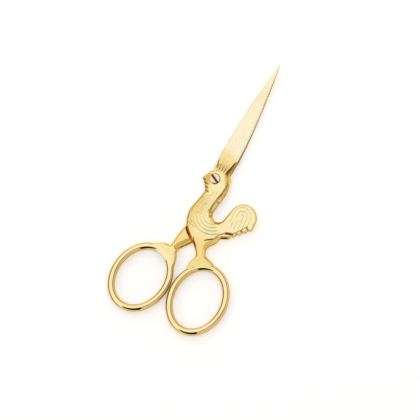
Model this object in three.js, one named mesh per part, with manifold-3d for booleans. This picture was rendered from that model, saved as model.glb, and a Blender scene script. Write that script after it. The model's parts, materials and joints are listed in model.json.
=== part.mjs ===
// Embroidery scissors with a cockerel figure: two forged halves crossed on a slotted screw.
// Millimetres, +Z up. The closed scissors lie on the back of the rear half at z = 0, blades along +Y.
// Plan positions are measured from the pivot: x to the right, y along the blades.
import * as THREE from 'three';
import { mergeVertices } from 'three/addons/utils/BufferGeometryUtils.js';
import Module from 'manifold-3d';

// A point the outline wraps round: a peg stands inside the outline, a hollow stands outside it.
const peg = (x, y, r) => ({ x, y, r, turn: 1 });
const hollow = (x, y, r) => ({ x, y, r, turn: -1 });

// Thicknesses
const plateThickness = 1.7;
const partingGap = 0.1;
const edgeRun = 1.05;
const tailThickness = 1.7;
const tailEdgeRun = 0.35;
const ricassoThickness = 1.35;
const trimThickness = 1.25;
const trimEdgeRun = 0.25;

// Blades
const bladeReach = 50;
const bladeLeanDegrees = 1.33;
const bladeOffset = 1.15;
const bladeRootY = 9.4;
const bladeThickness = 1.15;
const spineHalfWidth = 3.7;
const spineShoulderY = 26;
const heelWidth = 3.45;
const edgeShoulderWidth = 2.9;
const edgeShoulderY = 28;
const tipHalfWidth = 0.12;
const edgeThickness = 0.35;
const edgeGrindDegrees = 15.5;
const spineThickness = 1.0;
const spineGrindDegrees = 19;

// Waist between the head and the blade, to the left and right of the blade axis
const waistLeft = hollow(-7.9, 3.2, 4.45);
const waistRight = hollow(5.1, 4.4, 3.1);

// Comb flutes that fan from the head to the blade root
const fluteCount = 4;
const fluteStartRadius = 3.2;
const fluteLength = 5.2;
const fluteRadius = 0.55;
const fluteTipRadius = 0.28;
const fluteFanDegrees = 11;
const fluteLeanDegrees = -5;
const fluteThickness = 1.65;

// Cockerel: head, neck, breast and belly
const nape = peg(0.5, -3.1, 6.2);
const crown = peg(1.2, 0.5, 3.7);
const chin = hollow(-3.2, -4.6, 2.2);
const breast = peg(7.1, -14.8, 10);
const shin = hollow(2.8, -31, 5.4);
const legEndLeft = peg(10.2, -32.5, 1.3);
const legEndRight = peg(12.3, -31.3, 1.3);
const calf = hollow(13.1, -25.1, 2.7);
const tuft = peg(11.3, -20.9, 1.3);
const flank = hollow(14.5, -20.3, 1.7);
const bellyEnd = peg(14.9, -16.6, 1.4);
const throat = hollow(8.1, -11.5, 2.5);

// Beak and wattle
const brow = peg(-1.45, 1.05, 1.8);
const beakTip = peg(-3.7, -1.5, 0.9);
const beakNotch = hollow(-3.7, -3.05, 0.4);
const wattleUpper = peg(-1.75, -3.55, 0.8);
const wattleNotch = hollow(-2.15, -4.95, 0.35);
const wattleLower = peg(-0.55, -5.4, 0.8);
const wattleRoot = peg(1.4, -3.3, 1.2);

// Tail with a fringe of feather tips along its underside
const tailEnd = peg(16.7, -7.9, 5.3);
const tailRootLow = peg(7, -18, 1);
const tailRootHigh = peg(5.6, -16.2, 1);
const fringeStart = { x: 16.85, y: -15.45 };
const fringeEnd = { x: 21.4, y: -10.4 };
const fringeTips = 4;
const fringeTipRadius = 0.75;
const fringeNotchRadius = 0.35;
const fringeNotchDepth = 0.55;

// Foot on the right bow
const ankle = peg(9.9, -28.9, 1.7);
const toeLeft = peg(7.85, -33.4, 1.2);
const toeRight = peg(14.7, -29.5, 1.15);
const footRise = 1.55;
const footFall = 1.3;
const footEdgeRun = 0.5;

// Rear torso and left thigh
const rearNape = peg(0.5, -3.1, 6.1);
const rearCrown = peg(1.85, 0.5, 4.2);
const rearThroat = hollow(8.2, -11.2, 2.6);
const rearFlank = peg(3.2, -18.5, 3.6);
const rearChin = hollow(-3, -5, 2.5);
const rearBreast = peg(7.4, -14.8, 9.7);
const thighTop = hollow(-3.8, -20.4, 2.2);
const thighLeft = peg(1.9, -25.3, 4.4);
const shankLeft = hollow(-6.4, -29.2, 3.6);
const shankEndLeft = peg(-2.8, -33.3, 1.3);
const shankEndRight = peg(-0.7, -33.5, 1.3);
const shankRight = hollow(4.6, -31.2, 3.6);
const thighRight = peg(2, -23.6, 3);

// Full height part of the left thigh, clear of the front half beside it
const thighRaisedLeft = peg(-0.7, -23.1, 1);
const thighRaisedRight = peg(2.7, -25.6, 1);
const thighRise = 1.4;
const thighEdgeRun = 0.85;
const thighStepIn = 0.15;
const thighRooting = 0.6;

// Finger bows: inner hole, wire and lean of the long axis
const bowHoleLength = 22.8;
const bowHoleWidth = 17.6;
const bowWireWidth = 2.8;
const bowWireHeight = 2.9;
const rightBow = { x: 16.7, y: -43.2, leanDegrees: 0.4 };
const leftBow = { x: -6.7, y: -46.2, leanDegrees: -10.6 };
const shoulderLeft = peg(-8, -33.4, 1.25);
const shoulderTop = peg(-4.05, -31.3, 1.45);
const shoulderRight = peg(1.45, -36.2, 1.25);
const shoulderCorner = peg(0.45, -33, 1.2);
const shoulderEdgeRun = 0.7;

// Pivot screw
const screwHeadRadius = 1.98;
const screwHeadSink = 0.75;
const screwHeadProud = 0.25;
const screwDome = 0.15;
const screwShoulderRadius = 1.5;
const screwThreadRadius = 1.2;
const screwEndInset = 0.15;
const screwChamfer = 0.2;
const screwClearance = 0.08;
const slotWidth = 0.9;
const slotDepth = 0.5;
const slotTurnDegrees = 64;

const arcStepDegrees = 12;
const longestFacet = 0.8;
const bowSegments = 64;
const bowSides = 12;
const bowLap = 0.004;
const roundSegments = 48;

const wasm = await Module();
wasm.setup();
const radians = THREE.MathUtils.degToRad;
const tau = 2 * Math.PI;

// Solid of a closed geometry, for joining and cutting.
function solid(geometry) {
  const bare = geometry.clone();
  bare.deleteAttribute('normal');
  bare.deleteAttribute('uv');
  const merged = mergeVertices(bare, 1e-5);
  return new wasm.Manifold(new wasm.Mesh({
    numProp: 3,
    vertProperties: merged.attributes.position.array,
    triVerts: new Uint32Array(merged.index.array),
  }));
}

function geometryOf(body) {
  const mesh = body.getMesh();
  const geometry = new THREE.BufferGeometry();
  geometry.setAttribute('position', new THREE.BufferAttribute(mesh.vertProperties, 3));
  geometry.setIndex(new THREE.BufferAttribute(mesh.triVerts, 1));
  return geometry;
}

function join(bodies) {
  return bodies.reduce((sum, body) => sum.add(body));
}

// Angle at which a line leaves one circle square to its radius and meets the next the same way.
function tangentAngle(from, to) {
  const reach = Math.hypot(to.x - from.x, to.y - from.y);
  const drop = (to.turn * to.r - from.turn * from.r) / reach;
  return Math.atan2(to.y - from.y, to.x - from.x) - Math.asin(drop);
}

// Points of a belt run round the pegs in counter-clockwise order, moved in by an inset.
function beltPoints(pegs, inset) {
  const points = [];
  pegs.forEach((at, i) => {
    const before = pegs[(i + pegs.length - 1) % pegs.length];
    const after = pegs[(i + 1) % pegs.length];
    const start = tangentAngle(before, at);
    const sweep = at.turn * ((at.turn * (tangentAngle(at, after) - start) + 2 * tau) % tau);
    const arcStep = Math.min(radians(arcStepDegrees), longestFacet / at.r);
    const steps = Math.max(1, Math.ceil(Math.abs(sweep) / arcStep));
    const radius = at.turn * at.r - inset;
    for (let k = 0; k <= steps; k += 1) {
      const angle = start + (sweep * k) / steps - tau / 4;
      points.push(new THREE.Vector2(at.x + radius * Math.cos(angle), at.y + radius * Math.sin(angle)));
    }
  });
  return points;
}

// Plate with a belt outline. Each level is a height and an inset, from the lowest to the highest.
function plate(pegs, levels) {
  const rings = levels.map(([, inset]) => beltPoints(pegs, inset));
  const count = rings[0].length;
  const positions = rings.flatMap((ring, i) => ring.flatMap((p) => [p.x, p.y, levels[i][0]]));
  const index = [];
  for (let i = 0; i + 1 < rings.length; i += 1) {
    for (let k = 0; k < count; k += 1) {
      const a = i * count + k;
      const b = i * count + ((k + 1) % count);
      index.push(a, b, b + count, a, b + count, a + count);
    }
  }
  const top = (rings.length - 1) * count;
  THREE.ShapeUtils.triangulateShape(rings[0], []).forEach(([a, b, c]) => index.push(a, c, b));
  THREE.ShapeUtils.triangulateShape(rings[rings.length - 1], [])
    .forEach(([a, b, c]) => index.push(top + a, top + b, top + c));
  const geometry = new THREE.BufferGeometry();
  geometry.setAttribute('position', new THREE.Float32BufferAttribute(positions, 3));
  geometry.setIndex(index);
  return solid(geometry);
}

// Rounded edge from a flat inner face at height 0 out to the full thickness.
function roundedUp(thickness, run) {
  return [0, 0.3, 0.6, 0.85, 1].map((t) => [
    thickness * Math.sin((t * tau) / 4),
    run * (1 - Math.cos((t * tau) / 4)),
  ]);
}

function roundedDown(thickness, run) {
  return roundedUp(thickness, run).map(([z, inset]) => [-z, inset]).reverse();
}

// Rounded on both faces, for the full height pieces next to the bows.
function roundedBoth(fall, rise, run) {
  return [...roundedDown(fall, run).slice(0, -1), ...roundedUp(rise, run)];
}

function box(width, depth, height, matrix) {
  const geometry = new THREE.BoxGeometry(width, depth, height);
  geometry.translate(0, 0, height / 2);
  geometry.applyMatrix4(matrix);
  return solid(geometry);
}

// Everything above a plane that rises across the line from one plan point to another.
function grind(from, to, height, degrees) {
  const along = new THREE.Vector3(to.x - from.x, to.y - from.y, 0).normalize();
  const across = new THREE.Vector3(-along.y, along.x, 0);
  const up = new THREE.Vector3(0, 0, 1);
  const slope = across.clone().applyAxisAngle(along, radians(degrees));
  const normal = up.clone().applyAxisAngle(along, radians(degrees));
  const middle = new THREE.Vector3((from.x + to.x) / 2, (from.y + to.y) / 2, height);
  const frame = new THREE.Matrix4().makeBasis(along, slope, normal).setPosition(middle);
  return box(4 * bladeReach, bladeReach, bladeReach, frame);
}

// One blade with its waist, about the blade axis, flat inner face at height 0.
function bladeSolid() {
  const heel = { x: heelWidth, y: bladeRootY };
  const tip = { x: tipHalfWidth, y: bladeReach };
  const outline = new THREE.Shape();
  outline.moveTo(0, bladeRootY - 2.5);
  outline.lineTo(heel.x - 1.4, bladeRootY - 1);
  outline.lineTo(heel.x, heel.y);
  outline.quadraticCurveTo(edgeShoulderWidth, edgeShoulderY, tip.x, tip.y);
  outline.lineTo(-tip.x, tip.y);
  outline.quadraticCurveTo(-spineHalfWidth, spineShoulderY, -spineHalfWidth, bladeRootY);
  outline.lineTo(-waistLeft.r + 1.2, bladeRootY - 2.5);
  const blank = solid(new THREE.ExtrudeGeometry(outline, {
    depth: bladeThickness,
    bevelEnabled: false,
    curveSegments: 20,
  }));
  const spineRoot = { x: -spineHalfWidth, y: bladeRootY };
  const ground = blank
    .subtract(grind(heel, tip, edgeThickness, edgeGrindDegrees))
    .subtract(grind({ x: -tip.x, y: tip.y }, spineRoot, spineThickness, spineGrindDegrees));
  const waist = plate([
    peg(0.6, -0.5, 1),
    waistRight,
    peg(heel.x - 1.3, bladeRootY + 0.2, 0.6),
    peg(-spineHalfWidth + 0.7, bladeRootY + 1.4, 0.6),
    waistLeft,
    peg(-2.6, -0.5, 1),
  ], roundedUp(ricassoThickness, trimEdgeRun));
  return ground.add(waist);
}

// Turned half a turn about its own axis, the same blade serves the rear half.
function placedBlade(half) {
  const geometry = geometryOf(bladeSolid());
  if (half === 'rear') geometry.rotateY(tau / 2);
  geometry.rotateZ(radians(bladeLeanDegrees));
  geometry.translate(bladeOffset, 0, 0);
  return solid(geometry);
}

// Middle line of part of a bow, from one turn of the ring to another.
class BowPath extends THREE.Curve {
  constructor(bow, fromTurn, toTurn) {
    super();
    this.bow = bow;
    this.fromTurn = fromTurn;
    this.toTurn = toTurn;
  }

  getPoint(t, target = new THREE.Vector3()) {
    const angle = tau * (this.fromTurn + (this.toTurn - this.fromTurn) * t);
    const x = ((bowHoleWidth + bowWireWidth) / 2) * Math.cos(angle);
    const y = ((bowHoleLength + bowWireWidth) / 2) * Math.sin(angle);
    const lean = radians(this.bow.leanDegrees);
    return target.set(
      this.bow.x + x * Math.cos(lean) - y * Math.sin(lean),
      this.bow.y + x * Math.sin(lean) + y * Math.cos(lean),
      0,
    );
  }
}

// Closed ring of round wire, centred on the parting plane, from two half rings that lap at the ends.
function bowSolid(bow, height) {
  const section = new THREE.Shape();
  section.absarc(0, 0, bowWireWidth / 2, 0, tau);
  return join([0.25, 0.75].map((turn) => {
    const half = new THREE.ExtrudeGeometry(section, {
      extrudePath: new BowPath(bow, turn - bowLap, turn + 0.5 + bowLap),
      steps: bowSegments / 2,
      curveSegments: bowSides / 2,
      bevelEnabled: false,
    });
    half.scale(1, 1, bowWireHeight / bowWireWidth);
    half.translate(0, 0, height);
    return solid(half);
  }));
}

// Straight cutter through a finger hole.
function fingerHole(bow) {
  const geometry = new THREE.CylinderGeometry(1, 1, 8 * plateThickness, bowSegments);
  geometry.rotateX(tau / 4);
  geometry.scale(bowHoleWidth / 2, bowHoleLength / 2, 1);
  geometry.rotateZ(radians(bow.leanDegrees));
  geometry.translate(bow.x, bow.y, 0);
  return solid(geometry);
}

function bore(radius, from, to) {
  const geometry = new THREE.CylinderGeometry(radius, radius, to - from, roundSegments);
  geometry.rotateX(tau / 4);
  geometry.translate(0, 0, (from + to) / 2);
  return solid(geometry);
}

function fluteSolids() {
  return Array.from({ length: fluteCount }, (_, i) => {
    const fan = (i - (fluteCount - 1) / 2) * fluteFanDegrees;
    const near = radians(90 + fluteLeanDegrees - 1.6 * fan);
    const away = radians(90 - fan * 0.4);
    const x = crown.x - 0.7 + fluteStartRadius * Math.cos(near);
    const y = fluteStartRadius * Math.sin(near);
    return plate([
      peg(x, y, fluteRadius),
      peg(x + fluteLength * Math.cos(away), y + fluteLength * Math.sin(away), fluteTipRadius),
    ], roundedUp(fluteThickness, trimEdgeRun));
  });
}

function tailPegs() {
  const run = { x: fringeEnd.x - fringeStart.x, y: fringeEnd.y - fringeStart.y };
  const length = Math.hypot(run.x, run.y);
  const out = { x: run.y / length, y: -run.x / length };
  const fringe = [];
  for (let i = 0; i < fringeTips; i += 1) {
    const t = i / (fringeTips - 1);
    fringe.push(peg(fringeStart.x + run.x * t, fringeStart.y + run.y * t, fringeTipRadius));
    if (i + 1 < fringeTips) {
      const between = (i + 0.5) / (fringeTips - 1);
      fringe.push(hollow(
        fringeStart.x + run.x * between + out.x * fringeNotchDepth,
        fringeStart.y + run.y * between + out.y * fringeNotchDepth,
        fringeNotchRadius,
      ));
    }
  }
  return [tailRootLow, ...fringe, tailEnd, throat, tailRootHigh];
}

function frontHalf() {
  const torso = plate(
    [throat, nape, crown, chin, breast, shin, legEndLeft, legEndRight, calf, tuft, flank, bellyEnd],
    roundedUp(plateThickness, edgeRun),
  );
  const trim = roundedUp(trimThickness, trimEdgeRun);
  const foot = plate([ankle, toeLeft, toeRight], roundedBoth(footFall, footRise, footEdgeRun));
  const body = join([
    placedBlade('front'),
    torso,
    plate(tailPegs(), roundedUp(tailThickness, tailEdgeRun)),
    plate([brow, beakTip, beakNotch, wattleUpper, wattleNotch, wattleLower, wattleRoot], trim),
    ...fluteSolids(),
    foot.subtract(fingerHole(rightBow)),
    bowSolid(rightBow, -partingGap / 2),
  ]);
  const seat = plateThickness - screwHeadSink;
  return body
    .subtract(bore(screwShoulderRadius + screwClearance, -1, 2 * plateThickness))
    .subtract(bore(screwHeadRadius + screwClearance, seat - screwClearance, 2 * plateThickness));
}

function rearHalf() {
  const torso = plate([
    rearFlank,
    rearThroat,
    rearNape,
    rearCrown,
    rearChin,
    rearBreast,
    thighTop,
    thighLeft,
    shankLeft,
    shankEndLeft,
    shankEndRight,
    shankRight,
    thighRight,
  ], roundedDown(plateThickness, edgeRun));
  const thigh = plate(
    [thighRaisedLeft, shankLeft, shankEndLeft, shankEndRight, shankRight, thighRaisedRight],
    [[-thighRooting, thighStepIn], ...roundedUp(thighRise, thighEdgeRun).slice(1)],
  );
  const shoulder = plate(
    [shoulderTop, shoulderLeft, shoulderRight, shoulderCorner],
    roundedBoth(bowWireHeight / 2, bowWireHeight / 2, shoulderEdgeRun),
  );
  const body = join([
    placedBlade('rear'),
    torso.subtract(fingerHole(leftBow)),
    thigh.subtract(fingerHole(leftBow)),
    shoulder.subtract(fingerHole(leftBow)),
    bowSolid(leftBow, partingGap / 2),
  ]);
  return body.subtract(bore(screwThreadRadius + screwClearance, -2 * plateThickness, 1));
}

// Heights here are from the parting plane.
function pivotScrew() {
  const seat = partingGap / 2 + plateThickness - screwHeadSink;
  const rim = partingGap / 2 + plateThickness + screwHeadProud;
  const end = -partingGap / 2 - plateThickness + screwEndInset;
  const profile = [
    [0, end],
    [screwThreadRadius - screwChamfer, end],
    [screwThreadRadius, end + screwChamfer],
    [screwThreadRadius, 0],
    [screwShoulderRadius, 0],
    [screwShoulderRadius, seat],
    [screwHeadRadius, seat],
    [screwHeadRadius, rim - screwChamfer],
    [screwHeadRadius - screwChamfer, rim],
    [screwHeadRadius / 2, rim + screwDome * 0.75],
    [0, rim + screwDome],
  ];
  const turned = new THREE.LatheGeometry(profile.map(([r, z]) => new THREE.Vector2(r, z)), roundSegments);
  turned.rotateX(tau / 4);
  const across = new THREE.Matrix4().makeRotationZ(radians(slotTurnDegrees));
  across.setPosition(0, 0, rim + screwDome - slotDepth);
  return solid(turned).subtract(box(slotWidth, 4 * screwHeadRadius, 4 * slotDepth, across));
}

const plating = new THREE.MeshStandardMaterial({ color: 0xe3bd5c, metalness: 1, roughness: 0.2 });
const steel = new THREE.MeshStandardMaterial({ color: 0xd8cdc6, metalness: 1, roughness: 0.3 });

function piece(name, body, material, height) {
  const mesh = new THREE.Mesh(geometryOf(body), material);
  mesh.geometry.computeVertexNormals();
  mesh.geometry.translate(0, 0, height);
  mesh.name = name;
  return mesh;
}

const partingHeight = plateThickness + partingGap / 2;
const pieces = [
  piece('front_half', frontHalf(), plating, partingHeight + partingGap / 2),
  piece('rear_half', rearHalf(), plating, partingHeight - partingGap / 2),
  piece('pivot_screw', pivotScrew(), steel, partingHeight),
];

// The origin is the middle of the bottom of the bounding box.
const bounds = new THREE.Box3();
pieces.forEach((mesh) => {
  mesh.geometry.computeBoundingBox();
  bounds.union(mesh.geometry.boundingBox);
});
const middle = bounds.getCenter(new THREE.Vector3());
pieces.forEach((mesh) => mesh.geometry.translate(-middle.x, -middle.y, -bounds.min.z));

const scissors = new THREE.Group();
scissors.name = 'embroidery_scissors';
scissors.add(...pieces);
export default scissors;
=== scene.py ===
# Embroidery scissors with a cockerel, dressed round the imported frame
import json
import math

import bmesh
import bpy
import numpy as np
from mathutils import Matrix, Vector
from mathutils.kdtree import KDTree


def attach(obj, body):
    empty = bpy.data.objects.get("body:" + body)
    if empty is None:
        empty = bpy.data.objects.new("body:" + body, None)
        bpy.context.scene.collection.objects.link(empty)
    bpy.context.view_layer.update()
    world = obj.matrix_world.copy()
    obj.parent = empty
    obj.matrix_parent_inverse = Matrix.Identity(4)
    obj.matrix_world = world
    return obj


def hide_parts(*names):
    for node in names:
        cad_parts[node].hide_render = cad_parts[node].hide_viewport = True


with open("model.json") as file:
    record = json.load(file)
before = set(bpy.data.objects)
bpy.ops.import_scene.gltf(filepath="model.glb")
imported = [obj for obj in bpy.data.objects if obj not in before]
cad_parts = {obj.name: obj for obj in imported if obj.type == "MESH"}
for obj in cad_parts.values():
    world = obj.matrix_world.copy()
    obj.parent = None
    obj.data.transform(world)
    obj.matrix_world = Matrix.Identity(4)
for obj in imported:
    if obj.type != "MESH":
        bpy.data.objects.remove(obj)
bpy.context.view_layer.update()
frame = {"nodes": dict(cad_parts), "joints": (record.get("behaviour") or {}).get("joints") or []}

scene = bpy.context.scene
scene.view_settings.view_transform = "Standard"

# The bench: millimetres from the pivot, heights from the floor, blades along +y
pivot = frame["joints"][0]["pos_m"]
benchToRow = Matrix.Translation((pivot[0], pivot[1], 0)) @ Matrix.Scale(0.001, 4)
rowToBench = benchToRow.inverted()
frontSeat = 1.8   # inner face of the front half
frontTop = frontSeat + 1.7
rearSeat = 1.7    # inner face of the rear half
parting = 1.75
mergeWithin = 0.0005
flatWithin = 0.003    # of the height of a flat side


# Camera

photoView = {
    "aim": (3.97, -11.19, 1.75),
    "tilt": 11.0,                   # off straight above
    "towards": (0.9644, -0.2646),   # the side it leans to
    "up": (-0.4948, 0.869),         # up in the picture, along the bench
    "distance": 797.0,
    "lens": 180.0,
}


def setCamera(look):
    tilt = math.radians(look["tilt"])
    back = Vector((look["towards"][0] * math.sin(tilt), look["towards"][1] * math.sin(tilt), math.cos(tilt)))
    right = Vector((*look["up"], 0)).cross(back).normalized()
    up = back.cross(right)
    place = Vector(look["aim"]) + back * look["distance"]
    data = bpy.data.cameras.new("photoCamera")
    data.lens = look["lens"]
    data.sensor_width = 36
    data.clip_start = 0.01
    camera = bpy.data.objects.new("photoCamera", data)
    turn = Matrix((right, up, back)).transposed().to_4x4()
    camera.matrix_world = Matrix.Translation(benchToRow @ place) @ turn
    scene.collection.objects.link(camera)
    scene.camera = camera


setCamera(photoView)
print("camera set")


# Small helpers for meshes on the bench

def smoothStep(x, low, high):
    t = np.clip((x - low) / (high - low), 0, 1)
    return t * t * (3 - 2 * t)


def fade(x, span, start, end):
    return start + (end - start) * smoothStep(x, *span)


def fadeIn(x, span):
    return smoothStep(x, *span)


def fadeOut(x, span):
    return 1 - smoothStep(x, *span)


def between(x, first, last):
    return fadeIn(x, first) * fadeOut(x, last)


def inside(x, span):
    return (x > span[0]) & (x < span[1])


def cadCopy(node):
    bm = bmesh.new()
    bm.from_mesh(frame["nodes"][node].data)
    bmesh.ops.transform(bm, matrix=rowToBench, verts=bm.verts)
    bmesh.ops.remove_doubles(bm, verts=bm.verts, dist=mergeWithin)
    return bm


def cutOff(bm, point, normal):
    geom = bm.verts[:] + bm.edges[:] + bm.faces[:]
    bmesh.ops.bisect_plane(bm, geom=geom, dist=0.0002, plane_co=point, plane_no=normal, clear_outer=True)
    rim = [e for e in bm.edges if e.is_boundary]
    bmesh.ops.holes_fill(bm, edges=rim, sides=0)


# Even skin over a solid, so that it can be carved
def voxelSkin(bm, size):
    rough = bpy.data.meshes.new("rough")
    bm.to_mesh(rough)
    block = bpy.data.objects.new("rough", rough)
    scene.collection.objects.link(block)
    remesh = block.modifiers.new("skin", "REMESH")
    remesh.mode = "VOXEL"
    remesh.voxel_size = size
    remesh.adaptivity = 0
    skin = bpy.data.meshes.new_from_object(block.evaluated_get(bpy.context.evaluated_depsgraph_get()))
    bpy.data.objects.remove(block)
    bpy.data.meshes.remove(rough)
    bm.clear()
    bm.from_mesh(skin)
    bpy.data.meshes.remove(skin)
    bm.normal_update()


# Crumbs that the skin leaves beside a cut go
def dropCrumbs(bm):
    loose, islands = set(bm.verts), []
    while loose:
        island = ends = {loose.pop()}
        while ends:
            ends = {edge.other_vert(vert) for vert in ends for edge in vert.link_edges} - island
            island = island | ends
        loose -= island
        islands.append(island)
    islands.sort(key=len)
    bmesh.ops.delete(bm, geom=[vert for island in islands[:-1] for vert in island], context="VERTS")


def relax(bm, verts, rounds, factor=0.5, heightOnly=False):
    for _ in range(rounds):
        bmesh.ops.smooth_vert(bm, verts=verts, factor=factor, use_axis_x=not heightOnly,
                              use_axis_y=not heightOnly, use_axis_z=True)


def inBox(bm, x=(-99, 99), y=(-99, 99), z=(-99, 99)):
    return [vert for vert in bm.verts
            if x[0] < vert.co.x < x[1] and y[0] < vert.co.y < y[1] and z[0] < vert.co.z < z[1]]


def places(bm):
    return np.array([v.co for v in bm.verts])


def facings(bm):
    bm.normal_update()
    return np.array([v.normal for v in bm.verts])


def setPlaces(bm, spots):
    for vert, spot in zip(bm.verts, spots):
        vert.co = spot


# Nearest side wall of each point, seen from above: how far in from it, and which way it faces
def insetFromWalls(spots, normals, isWall):
    walls = np.flatnonzero(isWall)
    tree = KDTree(len(walls))
    for k in walls:
        tree.insert((spots[k, 0], spots[k, 1], 0), k)
    tree.balance()
    found = [tree.find((x, y, 0)) for x, y in spots[:, :2]]
    faces = normals[[f[1] for f in found], :2]
    faces = faces / np.maximum(np.linalg.norm(faces, axis=1), 1e-6)[:, None]
    return np.array([f[2] for f in found]), faces


# Lays the points above a slope down on it; the slope goes from height low on the wall to height high
def chamfer(spots, inset, faces, run, low, high, where):
    long = np.hypot(run, high - low)
    over = (spots[:, 2] - low) * run / long - inset * (high - low) / long
    over = np.where(where, np.maximum(over, 0), 0)
    spots[:, :2] -= faces * (over * (high - low) / long)[:, None]
    spots[:, 2] -= over * run / long
    return over > 0


maskSpans = {"flank": (0.78, 0.985), "side": (0.1, 0.55), "ridgeGain": 8, "ridgeBlur": 2, "smallFace": 9}


# Masks that the finishes read: flank (sloping) and side (steep), which carry painted shade, ridge (outer
# edges), which carries a painted highlight, recess (cut in), which carries painted shade, ground (blade
# face), shine (bow wire). A piece may also give sheen, a painted highlight for the ridges, warm, painted
# shade added to the flanks, and narrow, for walls that face each other and keep the light tone
def addMasks(mesh, given, faceted):
    count = len(mesh.vertices)
    spots = np.empty(count * 3)
    mesh.vertices.foreach_get("co", spots)
    spots = spots.reshape(-1, 3)
    ends = np.empty(len(mesh.edges) * 2, dtype=np.int32)
    mesh.edges.foreach_get("vertices", ends)
    first, second = ends.reshape(-1, 2).T
    links = np.maximum(np.bincount(ends, minlength=count), 1)

    def blur(values, rounds):
        for _ in range(rounds):
            total = np.zeros_like(values)
            np.add.at(total, first, values[second])
            np.add.at(total, second, values[first])
            shape = links if values.ndim == 1 else links[:, None]
            values = 0.5 * values + 0.5 * total / shape
        return values

    normals = np.zeros((count, 3))
    for face in mesh.polygons:
        if len(face.vertices) < maskSpans["smallFace"]:
            normals[list(face.vertices)] += face.normal
    normals = normals / np.maximum(np.linalg.norm(normals, axis=1), 1e-6)[:, None]
    step = np.mean(np.linalg.norm(spots[first] - spots[second], axis=1))
    bulge = ((spots - blur(spots, 1)) * normals).sum(1) / step
    masks = {"recess": np.zeros(len(mesh.polygons) if faceted else count),
             "ground": np.zeros(count), "shine": np.zeros(count)}
    masks.update(given)
    worn, warm, narrow = (masks.pop(name, 0) for name in ("worn", "warm", "narrow"))
    if faceted:
        upright = np.array([abs(face.normal.z) for face in mesh.polygons])
        masks["ridge"] = np.zeros(count)
    else:
        upright = np.abs(normals[:, 2])
        # ridges, and what the piece gives as sheen, take a painted highlight
        raised = blur(bulge, maskSpans["ridgeBlur"]) * maskSpans["ridgeGain"]
        masks["ridge"] = np.maximum(raised, worn) * (1 - masks["recess"])
    # flank and side: painted shade by how far a face turns from upright
    masks["flank"] = np.maximum(fadeOut(upright, maskSpans["flank"]), warm)
    masks["side"] = fadeOut(upright, maskSpans["side"]) * (1 - narrow)
    for name, values in masks.items():
        perFace = faceted and name in ("flank", "side", "recess")
        layer = mesh.attributes.new(name, "FLOAT", "FACE" if perFace else "POINT")
        layer.data.foreach_set("value", np.clip(values, 0, 1).astype(np.float32))


# Joins the small faces of a flat side, but for those in sight; the masks follow the points that stay
def joinFlat(bm, height, masks, inSight=None):
    row = bm.verts.layers.int.new("row")
    for k, vert in enumerate(bm.verts):
        vert[row] = k
    flat = {vert for k, vert in enumerate(bm.verts)
            if abs(vert.co.z - height) < flatWithin and (inSight is None or not inSight[k])}
    faces = [face for face in bm.faces if flat.issuperset(face.verts)]
    facing = faces[0].normal.copy()
    bmesh.ops.delete(bm, geom=faces, context="FACES")
    rim = [edge for edge in bm.edges if edge.is_boundary]
    bmesh.ops.triangle_fill(bm, edges=rim, use_beauty=True, use_dissolve=False, normal=facing)
    kept = np.array([vert[row] for vert in bm.verts])
    bm.verts.layers.int.remove(row)
    return {name: values[kept] for name, values in masks.items()}


def finishPiece(name, bm, body, node, material, masks=None, sharpAngle=60, faceted=False):
    mesh = bpy.data.meshes.new(name)
    bm.to_mesh(mesh)
    bm.free()
    mesh.shade_smooth()
    mesh.set_sharp_from_angle(angle=math.radians(sharpAngle))
    addMasks(mesh, masks or {}, faceted)
    mesh.transform(benchToRow)
    mesh.materials.append(material)
    piece = bpy.data.objects.new(name, mesh)
    scene.collection.objects.link(piece)
    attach(piece, body)
    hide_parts(node)
    print(name, sum(len(p.vertices) - 2 for p in mesh.polygons), "triangles")
    return piece


# Finishes

def newGroup(name, inputs, outputs):
    group = bpy.data.node_groups.new(name, "ShaderNodeTree")
    for label, kind, value in inputs:
        socket = group.interface.new_socket(label, in_out="INPUT", socket_type="NodeSocket" + kind)
        if value is not None:
            socket.default_value = value
    for label, kind in outputs:
        group.interface.new_socket(label, in_out="OUTPUT", socket_type="NodeSocket" + kind)
    return group, group.nodes.new("NodeGroupInput"), group.nodes.new("NodeGroupOutput")


def mathNode(tree, operation, first, second=None, third=None):
    node = tree.nodes.new("ShaderNodeMath")
    node.operation = operation
    for i, value in enumerate((first, second, third)):
        if value is None:
            continue
        if isinstance(value, (int, float)):
            node.inputs[i].default_value = value
        else:
            tree.links.new(value, node.inputs[i])
    return node.outputs[0]


def mixColours(tree, factor, first, second):
    node = tree.nodes.new("ShaderNodeMix")
    node.data_type = "RGBA"
    tree.links.new(factor, node.inputs["Factor"])
    for socket, value in zip((node.inputs[6], node.inputs[7]), (first, second)):
        if isinstance(value, tuple):
            socket.default_value = value
        else:
            tree.links.new(value, socket)
    return node.outputs[2]


def noiseNode(tree, vector, scale, detail=2.0):
    node = tree.nodes.new("ShaderNodeTexNoise")
    node.inputs["Scale"].default_value = scale
    node.inputs["Detail"].default_value = detail
    tree.links.new(vector, node.inputs["Vector"])
    return node.outputs["Fac"]


surface = {
    "cloudScale": 160, "cloudShare": 0.75, "speckScale": 900, "speckShare": 0.25, "cloudLevel": 0.45,
    "sheenFrom": 0.2, "patchScale": 220, "recessRough": 0.18, "markDetail": 3, "bumpDepth": 0.00002,
}
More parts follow.
